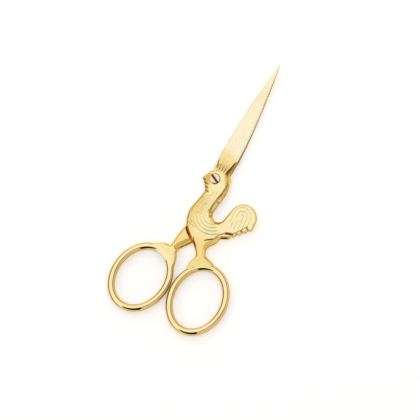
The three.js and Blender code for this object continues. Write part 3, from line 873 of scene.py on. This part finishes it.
def makeFrontFigure():
    look, tone = frontFigure, frontTones
    bm = cadCopy("front_half")
    seam, along = seamPlane("front")
    cutOff(bm, seam + along * blade["seamSpare"], along)
    cutOff(bm, (*look["toeCut"], 0), (*look["toeNormal"], 0))
    voxelSkin(bm, look["voxel"])
    dropCrumbs(bm)
    relax(bm, bm.verts, look["skinRounds"])
    cutOff(bm, seam, along)

    # what is left of the wire goes inside the bow
    spots = places(bm)
    reach, line = wireReach(spots, rightBow)
    near = reach < look["wireNear"]
    spots[near] = line[near] + (spots[near] - line[near]) * look["wireSink"]
    toe = fadeOut(spots[:, 0], look["toeX"]) * fadeOut(spots[:, 1], look["toeY"])
    spots[:, :2] += toe[:, None] * np.array(look["toeShift"])
    setPlaces(bm, spots)
    settleFoot(bm)

    # wide sloping edges, widest on the right of the neck and under the belly
    spots, normals = places(bm), facings(bm)
    u, v = spots[:, 0], spots[:, 1]
    inset, faces = insetFromWalls(spots, normals, frontWalls(spots, normals))
    turned = fadeIn(faces @ downRight, look["wideFacing"])
    facesLeft = faces[:, 0] < 0
    onLeg = fadeOut(v, look["legY"])
    onTail = fadeIn(u, look["tailX"]) * fadeIn(v + look["tailLean"] * (look["tailMiddle"] - u), look["tailY"])
    run = look["edgeRun"] + look["wideRun"] * turned
    for width, share in (
        (fade(-v, look["neckWiden"], *look["neckRun"]), turned * fadeIn(v, look["neckFoot"])),
        (look["tailRun"], onTail),
        (fade(-v, look["shinNarrow"], *look["shinRun"]), onLeg * facesLeft),
        (look["thighRun"], between(-v, *look["thighY"]) * facesLeft),
        (look["legRun"], onLeg * ~facesLeft),
    ):
        run = run + (width - run) * share
    where = (spots[:, 2] > frontSeat + look["edgeFrom"]) & inside(v, look["edgeY"])
    where = where & (np.hypot(u, v) > look["wallRoom"])
    sloped = chamfer(spots, inset, faces, run, frontSeat + look["edgeFoot"], frontTop, where)
    setPlaces(bm, spots)
    banded = sloped | ((inset < look["bandWidth"]) & (spots[:, 2] > frontTop - look["bandDepth"]))
    banded = banded & inside(v, look["edgeY"]) & (np.hypot(u, v) > look["screwRoom"])
    relax(bm, [vert for vert, chosen in zip(bm.verts, banded) if chosen], look["bandRounds"])

    # the comb slopes down into the blade
    spots = places(bm)
    u, v = spots[:, 0], spots[:, 1]
    toBlade = np.array(bladeFrame("front").inverted())
    across = spots @ toBlade[0, :3] + toBlade[0, 3]
    edgeRise, spineRise = (math.tan(math.radians(blade[name])) for name in ("edgeGrind", "spineGrind"))
    ground = np.minimum(blade["edgeHeight"] + (blade["heel"] - across) * edgeRise,
                        blade["spineHeight"] + (across + blade["spine"]) * spineRise)
    ground = frontSeat + np.clip(ground, look["thinnest"], blade["thickness"])
    onComb = inside(v, (look["combSlope"][0], blade["seamY"] - blade["seamHold"]))
    cap = fade(v, look["combSlope"], frontTop, ground)
    spots[:, 2] = np.where(onComb, np.minimum(spots[:, 2], cap), spots[:, 2])

    # the cheek falls to the level of the beak and wattle
    fall = fadeOut(u, look["cheekX"]) * between(v, *look["cheekY"])
    onCheek = (spots[:, 2] > frontSeat + look["cheekFrom"]) & (fall > 0)
    cap = frontTop - look["cheekFall"] * fall
    spots[:, 2] = np.where(onCheek, np.minimum(spots[:, 2], cap), spots[:, 2])
    setPlaces(bm, spots)
    bm.normal_update()
    for low, high, right, rounds in look["softened"]:
        box = inBox(bm, x=(-99, right), y=(low, high), z=(frontSeat + look["softFrom"], 99))
        upper = [vert for vert in box if vert.normal.z > look["softFacing"]
                 and math.hypot(vert.co.x, vert.co.y) > look["softRoom"]]
        relax(bm, upper, rounds, heightOnly=True)
    settleFoot(bm)

    # carving
    spots, normals = places(bm), facings(bm)
    u, v = spots[:, 0], spots[:, 1]
    body = fadeIn(normals[:, 2], look["carveFacing"]) * (spots[:, 2] > frontSeat + look["carveFrom"])
    body = body * (np.hypot(u, v) > look["screwRoom"]) * inside(v, (look["carveFoot"], look["bodyTop"]))
    lines = np.maximum(wingLines(u, v), tailLines(u, v))
    scales = breastScales(u, v)
    spots[:, 2] += body * domeHeight(u, v)
    spots[:, 2] -= body * (carving["lineDepth"] * lines + carving["scaleDepth"] * scales)
    # painted shade in the carved wing, tail and scale lines
    recess = body * (carving["lineTone"] * lines + carving["scaleTone"] * scales)
    for path, width, depth, dark in cuts:
        cut = groove(pathDistance(u, v, path), width) * (normals[:, 2] > look["cutFacing"])
        cut = cut * (spots[:, 2] > frontSeat + look["cutFrom"])
        spots[:, 2] -= np.minimum(depth * cut, np.maximum(spots[:, 2] - frontSeat - look["cutFloor"], 0))
        recess = np.maximum(recess, dark * cut)
    setPlaces(bm, spots)
    easeCuts(bm)

    # tones: painted shade in the cuts, on the cheek, along the rims and on walls that face right by the
    # blade, deeper gold as painted shade on the root, breast, leg and face, a painted highlight on the tail,
    # head and body
    normals = facings(bm)
    inset, faces = insetFromWalls(spots, normals, frontWalls(spots, normals))
    # painted shade on the cheek, in the hollow by the beak and wattle
    cheek = tone["cheek"] * fadeOut(u, tone["cheekX"]) * between(v, *tone["cheekY"])
    inGap = (normals[:, 0] < tone["gapFacing"]) * (spots[:, 2] < frontTop - tone["gapDepth"])
    inGap = inGap * between(v, *tone["gapY"])
    # painted shade on faces that turn to the right, from the root of the blade up
    rightShade = fadeIn(normals[:, 0], tone["rightShadeFacing"]) * fadeIn(v, tone["rightShadeY"])
    # painted shade along the rims, wider and darker near walls that face left on the breast
    leftward = fadeIn(faces @ np.array(tone["left"]), tone["leftFacing"])
    leftward = leftward * fadeIn(v, tone["leftFoot"]) * (v < tone["leftTop"])
    rim = fadeOut(inset, (tone["rimFrom"], tone["rimWidth"] + tone["rimWide"] * leftward))
    rim = rim * (tone["rim"] + tone["rimLeft"] * leftward)
    rim = rim * (spots[:, 2] > frontSeat + tone["rimHeight"]) * inside(v, tone["rimY"]) * (1 - inGap)
    plain = (normals[:, 2] > tone["level"]) * 1.0
    onTail = fadeIn(u, tone["tailX"]) * (v > tone["tailFoot"])
    onFace = fadeOut(u, tone["faceX"]) * between(v, *tone["faceY"])
    onHead = between(v, *tone["headY"]) * (1 - onFace)
    onBody = fadeIn(v, tone["bodyY"]) * fadeIn(u, tone["bodyX"])
    onRoot = between(v, *tone["rootY"])
    onBreast = fadeIn(-u, tone["breastX"]) * inside(v, tone["breastY"])
    onLeg = fadeOut(v, tone["legY"])
    # painted highlight: paler upward faces of the tail, head and body, and the whole tail a little
    worn = np.maximum.reduce([tone["tail"] * onTail, tone["head"] * onHead, tone["body"] * onBody])
    # painted shade: upward faces of the root, breast, leg and face take the deeper flank tone
    warm = np.maximum.reduce([tone["root"] * onRoot, tone["breast"] * onBreast, tone["leg"] * onLeg, onFace])
    masks = {
        "recess": np.maximum.reduce([recess, cheek, rim, blade["groundTone"] * rightShade]),
        "ground": fadeIn(v, blade["groundFade"]),
        "worn": np.maximum(tone["tailEdge"] * onTail, plain * worn),
        "warm": plain * warm,
        "narrow": inGap,
    }
    masks = joinFlat(bm, frontSeat, masks)
    return finishPiece("front_figure", bm, "front", "front_half", goldPlate, masks)


makeFrontFigure()


rearFigure = {
    "voxel": 0.14, "skinRounds": 3, "breast": (7.1, -14.8, 10.0), "breastEnd": (1.61, -23.16),
    "shinLine": (-0.549, -0.836, 18.48), "clearance": 0.08,
    "thighX": (-4.5, 6), "thighY": (-30, -20.8), "thighFrom": 0.12, "thighRise": 1.4, "thighGap": (0.1, 0.5),
    "thighWallY": (-34, -19), "thighWallZ": (0.7, 1.5), "thighFacing": 0.6,
    "thighRun": 1.0, "thighWide": 1.0, "wideFacing": (0, 0.6),
    "slopeY": (-30.5, -20), "slopeFoot": 1.0, "thighSoft": ((-31, -20), (0.9, 99)), "thighRounds": 4,
    "edgeWallZ": (0.7, 1.2), "edgeY": 2.5, "edgeX": 2, "edgeZ": 1.2, "edgeFacing": 0.7,
    "shoulder": ((-10, 3.5), (-39, -29.5)), "shoulderRounds": 24,
    "wirePull": (1.03, 1.25), "wireFrom": 0.85, "wireTop": -30, "wireLeast": 0.5,
    "join": ((0, 4.5), (-40, -31)), "joinRounds": 30,
    "carveFacing": (0.35, 0.8), "carveFrom": 0.5, "carveY": (-22, -3), "screwRoom": 3,
}

# Where the rear figure gets painted shade, darker or warmer
rearTones = {
    "gapReach": 0.5, "gapY": (-27, -19), "gapZ": (1.6, 2.95), "rightShadeFacing": (0.3, 0.6), "rightShadeY": (3, 6),
    "combCorner": ((2.8, 4.0), (3.8, 8.75)), "combShade": 0.85, "shelterZ": 0.4, "shelterWidth": (2.2, 0.5),
    "shelterNarrow": (0.5, 6), "shelterEnds": ((-1.6, -0.2), (4.6, 5.8)), "shine": (1.02, 1.35),
    "level": 0.8, "thigh": 0.35, "thighY": (-28, -20), "rootY": (-2, 10), "sightY": (-2, 10.5), "sightX": 1.5,
}


# Distance to the left of the cockerel's breast and leg, which the thigh ends against
def besideBreast(u, v):
    x, y, radius = rearFigure["breast"]
    a, b, c = rearFigure["shinLine"]
    curved = np.hypot(u - x, v - y) - radius
    straight = a * u + b * v - c
    past = (u - rearFigure["breastEnd"][0]) * -b + (v - rearFigure["breastEnd"][1]) * a
    return np.where(past > 0, straight, curved)


def makeRearFigure():
    look, tone = rearFigure, rearTones
    bm = cadCopy("rear_half")
    seam, along = seamPlane("rear")
    cutOff(bm, seam + along * blade["seamSpare"], along)
    voxelSkin(bm, look["voxel"])
    relax(bm, bm.verts, look["skinRounds"])
    cutOff(bm, seam, along)

    # full thigh up to the breast, with a wide slope on its lower side
    spots = places(bm)
    u, v = spots[:, 0], spots[:, 1]
    beside = besideBreast(u, v)
    clear = beside > look["clearance"]
    onThigh = inside(u, look["thighX"]) & inside(v, look["thighY"])
    onThigh = onThigh & (spots[:, 2] > rearSeat - look["thighFrom"])
    raised = rearSeat + look["thighRise"] * fadeIn(beside, look["thighGap"])
    spots[:, 2] = np.where(onThigh & clear, np.maximum(spots[:, 2], raised), spots[:, 2])
    setPlaces(bm, spots)
    normals = facings(bm)
    isWall = inside(spots[:, 2], look["thighWallZ"]) & inside(v, look["thighWallY"])
    isWall = isWall & (np.abs(normals[:, 2]) < look["thighFacing"])
    inset, faces = insetFromWalls(spots, normals, isWall)
    run = look["thighRun"] + look["thighWide"] * fadeIn(faces @ downRight, look["wideFacing"])
    chamfer(spots, inset, faces, run, look["slopeFoot"], rearSeat + look["thighRise"],
            inside(v, look["slopeY"]) & (spots[:, 2] > look["slopeFoot"]) & clear)
    setPlaces(bm, spots)
    softY, softZ = look["thighSoft"]
    relax(bm, inBox(bm, y=softY, z=softZ), look["thighRounds"])

    # the corner beside the cutting edge is taken off, as on the blade
    spots, normals = places(bm), facings(bm)
    isWall = (normals[:, 0] > look["edgeFacing"]) & inside(spots[:, 2], look["edgeWallZ"])
    isWall = isWall & (spots[:, 1] > 0)
    inset, faces = insetFromWalls(spots, normals, isWall)
    corner = blade["spineCorner"]
    chamfer(spots, inset, faces, np.full(len(spots), corner), rearSeat - corner, rearSeat,
            (spots[:, 0] > look["edgeX"]) & (spots[:, 1] > look["edgeY"]) & (spots[:, 2] > look["edgeZ"]))
    setPlaces(bm, spots)

    # soft web between the shank and the bow, then true round wire where the skin is close to it
    relax(bm, inBox(bm, *look["shoulder"]), look["shoulderRounds"])
    spots = places(bm)
    reach, line = wireReach(spots, leftBow)
    pull = fadeOut(reach, look["wirePull"]) * (reach > look["wireFrom"]) * (spots[:, 1] < look["wireTop"])
    grown = 1 / np.maximum(reach, look["wireLeast"])
    spots = line + (spots - line) * (1 + (grown - 1) * pull)[:, None]
    setPlaces(bm, spots)
    relax(bm, inBox(bm, *look["join"]), look["joinRounds"])
    easeCuts(bm)

    # carving on the back
    spots, normals = places(bm), facings(bm)
    u, v = spots[:, 0], spots[:, 1]
    back = fadeIn(-normals[:, 2], look["carveFacing"]) * (spots[:, 2] < rearSeat - look["carveFrom"])
    back = back * (np.hypot(u, v) > look["screwRoom"]) * inside(v, look["carveY"])
    lines, scales = wingLines(u, v), breastScales(u, v)
    spots[:, 2] += back * (carving["lineDepth"] * lines + carving["scaleDepth"] * scales)
    setPlaces(bm, spots)

    # tones: painted shade in the carving, beside the front's comb, on walls that face right by the blade and
    # where the bows touch, deeper gold as painted shade on the thigh and root
    normals = facings(bm)
    inGap = inside(v, tone["gapY"]) & inside(spots[:, 2], tone["gapZ"])
    inGap = inGap & (besideBreast(u, v) < tone["gapReach"])
    # painted shade on faces that turn to the right, from the root of the blade up
    rightShade = fadeIn(normals[:, 0], tone["rightShadeFacing"]) * fadeIn(v, tone["rightShadeY"])
    # painted shade in the carving on the back
    carved = back * (carving["lineTone"] * lines + carving["scaleTone"] * scales)
    # painted shade on the rear's inner face beside the front's comb edge
    start, end = np.array(tone["combCorner"])
    way = (end - start) / np.linalg.norm(end - start)
    along = (u - start[0]) * way[0] + (v - start[1]) * way[1]
    beside = (u - start[0]) * way[1] - (v - start[1]) * way[0]
    width = fade(along, tone["shelterNarrow"], *tone["shelterWidth"])
    combShade = tone["combShade"] * fadeOut(beside, (0, width)) * between(along, *tone["shelterEnds"])
    combShade = combShade * (spots[:, 2] > rearSeat - tone["shelterZ"])
    dark = [carved, combShade, blade["groundTone"] * rightShade, bowTouchShade(spots, normals)]
    # painted shade: upward faces of the thigh and root take the deeper flank tone
    warm = np.maximum(tone["thigh"] * inside(v, tone["thighY"]), inside(v, tone["rootY"]))
    masks = {
        "recess": np.maximum.reduce(dark),
        "ground": fadeIn(v, blade["groundFade"]),
        "shine": fadeOut(wireReach(spots, leftBow)[0], tone["shine"]),
        "warm": (normals[:, 2] > tone["level"]) * warm,
        "narrow": inGap,
    }
    masks = joinFlat(bm, rearSeat, masks, inside(v, tone["sightY"]) & (u > tone["sightX"]))
    return finishPiece("rear_figure", bm, "rear", "rear_half", goldPlate, masks)


makeRearFigure()


# Pivot screw

screw = {
    "head": 1.98, "sink": 0.75, "proud": 0.25, "shoulder": 1.5, "thread": 1.2, "endInset": 0.15,
    "chamfer": 0.2, "rimBreak": (0.05, 0.08), "dome": 0.15, "steps": 96,
    "domeSteps": ((0.7, 0.5), (0.35, 0.88), (0, 1)),        # shares of the head and of the dome
    "slotWidth": 0.9, "slotDepth": 0.5, "slotTurn": 64.0, "cutter": (6, 2),
    "lipBevel": 0.045, "lipAngle": 0.9, "lipFrom": 0.02, "slotTone": (-0.05, 0.1),
}


def makeScrew():
    seat, rim, end = frontTop - screw["sink"], frontTop + screw["proud"], screw["endInset"]
    head, shoulder, thread, chamfered = (screw[name] for name in ("head", "shoulder", "thread", "chamfer"))
    profile = [
        (0, end), (thread - chamfered, end), (thread, end + chamfered), (thread, parting),
        (shoulder, parting), (shoulder, seat), (head, seat), (head, rim - chamfered),
        (head - screw["rimBreak"][0], rim - screw["rimBreak"][1]), (head - chamfered, rim),
    ]
    profile += [(head * r, rim + screw["dome"] * h) for r, h in screw["domeSteps"]]
    bm = bmesh.new()
    verts = [bm.verts.new((r, 0, z)) for r, z in profile]
    for a, b in zip(verts, verts[1:]):
        bm.edges.new((a, b))
    bmesh.ops.spin(bm, geom=bm.verts[:] + bm.edges[:], cent=(0, 0, 0), axis=(0, 0, 1), angle=math.tau,
                   steps=screw["steps"], use_merge=True)
    bmesh.ops.remove_doubles(bm, verts=bm.verts, dist=mergeWithin)
    bmesh.ops.recalc_face_normals(bm, faces=bm.faces)
    turned = bpy.data.meshes.new("turned")
    bm.to_mesh(turned)
    bm.clear()

    # the slot, cut across the head
    floor = rim + screw["dome"] - screw["slotDepth"]
    long, tall = screw["cutter"]
    size = Matrix.Diagonal((screw["slotWidth"], long, tall, 1))
    turn = Matrix.Rotation(math.radians(screw["slotTurn"]), 4, "Z")
    across = Matrix.Translation((0, 0, floor + tall / 2)) @ turn
    bmesh.ops.create_cube(bm, size=1, matrix=across @ size)
    bar = bpy.data.meshes.new("bar")
    bm.to_mesh(bar)
    bm.clear()
    blank, cutter = bpy.data.objects.new("blank", turned), bpy.data.objects.new("cutter", bar)
    scene.collection.objects.link(blank)
    scene.collection.objects.link(cutter)
    cut = blank.modifiers.new("slot", "BOOLEAN")
    cut.operation = "DIFFERENCE"
    cut.object = cutter
    cut.solver = "EXACT"
    bpy.context.view_layer.update()
    slotted = bpy.data.meshes.new_from_object(blank.evaluated_get(bpy.context.evaluated_depsgraph_get()))
    for spare in (blank, cutter):
        bpy.data.objects.remove(spare)
    bm.from_mesh(slotted)
    bmesh.ops.remove_doubles(bm, verts=bm.verts, dist=mergeWithin)
    lips = [edge for edge in bm.edges if min(vert.co.z for vert in edge.verts) > floor + screw["lipFrom"]
            and len(edge.link_faces) == 2 and edge.calc_face_angle(0) > screw["lipAngle"]]
    bmesh.ops.bevel(bm, geom=lips, offset=screw["lipBevel"], segments=2, profile=0.5, affect="EDGES",
                    material=-1, clamp_overlap=True)
    bmesh.ops.dissolve_degenerate(bm, dist=0.002, edges=bm.edges)
    # painted shade on the floor of the slot
    low, high = screw["slotTone"]
    inSlot = np.array([floor + low < vert.co.z < floor + high for vert in bm.verts], dtype=float)
    return finishPiece("pivot_screw_slotted", bm, "screw", "pivot_screw", steelScrew,
                       {"recess": inSlot}, sharpAngle=35)


makeScrew()


# Studio: white floor, and a dome that is one wide soft light on the left and above, with a dark seam
# round it, dimmer cloth to the right and below, and one dark gap on the near side

studio = {
    "floorSize": 3.0, "floorColour": (0.92, 0.92, 0.92), "floorLift": 0.36, "floorDrop": 0.00003,
    "floorRough": 0.9, "floorGloss": 0.1,
    "domeRadius": 0.9, "right": (0.869, 0.4948), "near": (0.4948, -0.869),
    "lightRight": 48, "lightNear": 18,      # degrees from straight above
    "falloff": [(-1, (1, 1, 1)), (0, (0.10, 0.08, 0.06)), (13, (0.08, 0.06, 0.04)), (16, (0.90, 0.85, 0.74)),
                (45, (0.80, 0.74, 0.62)), (90, (0.62, 0.55, 0.44))],
    "gapLeft": (-12.7, -0.58), "gapRight": (-10, 0.24), "gapLevel": 0.015,
    "footHeight": 0.42, "footFrom": 0.55, "footFade": 0.3, "footLevel": 0.1,
    "skyStrength": 1.0,
}


def makeStageObject(name, bm, material):
    mesh = bpy.data.meshes.new(name)
    bm.to_mesh(mesh)
    bm.free()
    mesh.materials.append(material)
    thing = bpy.data.objects.new(name, mesh)
    scene.collection.objects.link(thing)
    return thing


def makeFloor():
    material = bpy.data.materials.new("paleFloor")
    material.use_nodes = True
    tree = material.node_tree
    shader = tree.nodes["Principled BSDF"]
    shader.inputs["Base Color"].default_value = (*studio["floorColour"], 1)
    shader.inputs["Roughness"].default_value = studio["floorRough"]
    shader.inputs["Specular IOR Level"].default_value = studio["floorGloss"]
    shader.inputs["Emission Color"].default_value = (1, 1, 1, 1)
    path = tree.nodes.new("ShaderNodeLightPath")
    seen = mathNode(tree, "MAXIMUM", path.outputs["Is Camera Ray"], path.outputs["Is Glossy Ray"])
    seen = mathNode(tree, "MAXIMUM", seen, path.outputs["Is Transmission Ray"])
    tree.links.new(mathNode(tree, "MULTIPLY", seen, studio["floorLift"]), shader.inputs["Emission Strength"])
    bm = bmesh.new()
    bmesh.ops.create_grid(bm, x_segments=1, y_segments=1, size=studio["floorSize"] / 2)
    bmesh.ops.translate(bm, verts=bm.verts, vec=(0, 0, -studio["floorDrop"]))
    return makeStageObject("floor", bm, material)


def makeDome():
    material = bpy.data.materials.new("softDome")
    material.use_nodes = True
    tree = material.node_tree
    tree.nodes.remove(tree.nodes["Principled BSDF"])
    coords = tree.nodes.new("ShaderNodeTexCoord")
    split = tree.nodes.new("ShaderNodeSeparateXYZ")
    tree.links.new(coords.outputs["Object"], split.inputs["Vector"])
    x, y, z = split.outputs

    def sideways(direction):
        return mathNode(tree, "MULTIPLY_ADD", x, direction[0], mathNode(tree, "MULTIPLY", y, direction[1]))

    def lean(direction):
        turn = mathNode(tree, "ARCTAN2", sideways(direction), z)
        return mathNode(tree, "MULTIPLY", turn, math.degrees(1))

    def edge(values):
        return mathNode(tree, "MULTIPLY_ADD", near, values[1], values[0])

    right, near = lean(studio["right"]), lean(studio["near"])
    fromLeft = mathNode(tree, "SUBTRACT", right, edge(studio["gapLeft"]))
    fromRight = mathNode(tree, "SUBTRACT", edge(studio["gapRight"]), right)
    below = mathNode(tree, "MINIMUM", mathNode(tree, "SUBTRACT", near, studio["lightNear"]), fromLeft)
    beyond = mathNode(tree, "MAXIMUM", mathNode(tree, "SUBTRACT", right, studio["lightRight"]), below)
    low, high = studio["falloff"][0][0], studio["falloff"][-1][0]
    ramp = tree.nodes.new("ShaderNodeValToRGB")
    share = mathNode(tree, "DIVIDE", mathNode(tree, "SUBTRACT", beyond, low), high - low)
    share.node.use_clamp = True
    tree.links.new(share, ramp.inputs["Fac"])
    ramp.color_ramp.elements.remove(ramp.color_ramp.elements[1])
    for k, (place, level) in enumerate(studio["falloff"]):
        position = (place - low) / (high - low)
        stop = ramp.color_ramp.elements.new(position) if k else ramp.color_ramp.elements[0]
        stop.position = position
        stop.color = (*level, 1)

    # the gap: near side only, between its two edges
    inGap = mathNode(tree, "GREATER_THAN", mathNode(tree, "MINIMUM", fromLeft, fromRight), 0.0)
    inGap = mathNode(tree, "MULTIPLY", inGap, mathNode(tree, "GREATER_THAN", near, studio["lightNear"]))
    # the foot of the dome is dark on the left
    leftward = mathNode(tree, "MULTIPLY", sideways(studio["right"]), -1 / studio["domeRadius"])
    leftward = mathNode(tree, "SUBTRACT", leftward, studio["footFrom"])
    leftward = mathNode(tree, "DIVIDE", leftward, studio["footFade"])
    leftward.node.use_clamp = True
    atFoot = mathNode(tree, "LESS_THAN", z, mathNode(tree, "MULTIPLY", leftward, studio["footHeight"]))
    gapLevel, footLevel = (*[studio["gapLevel"]] * 3, 1), (*[studio["footLevel"]] * 3, 1)
    colour = mixColours(tree, inGap, ramp.outputs["Color"], gapLevel)
    colour = mixColours(tree, atFoot, colour, footLevel)
    glow = tree.nodes.new("ShaderNodeEmission")
    tree.links.new(colour, glow.inputs["Color"])
    tree.links.new(glow.outputs["Emission"], tree.nodes["Material Output"].inputs["Surface"])
    bm = bmesh.new()
    bmesh.ops.create_uvsphere(bm, u_segments=96, v_segments=48, radius=studio["domeRadius"])
    bmesh.ops.bisect_plane(bm, geom=bm.verts[:] + bm.edges[:] + bm.faces[:], dist=0.0001, plane_co=(0, 0, 0),
                           plane_no=(0, 0, -1), clear_outer=True)
    dome = makeStageObject("softDome", bm, material)
    dome.visible_camera = False
    return dome


makeFloor()
makeDome()

world = bpy.data.worlds.new("studioSky")
world.use_nodes = True
world.node_tree.nodes["Background"].inputs["Color"].default_value = (1, 1, 1, 1)
world.node_tree.nodes["Background"].inputs["Strength"].default_value = studio["skyStrength"]
scene.world = world
print("studio set")
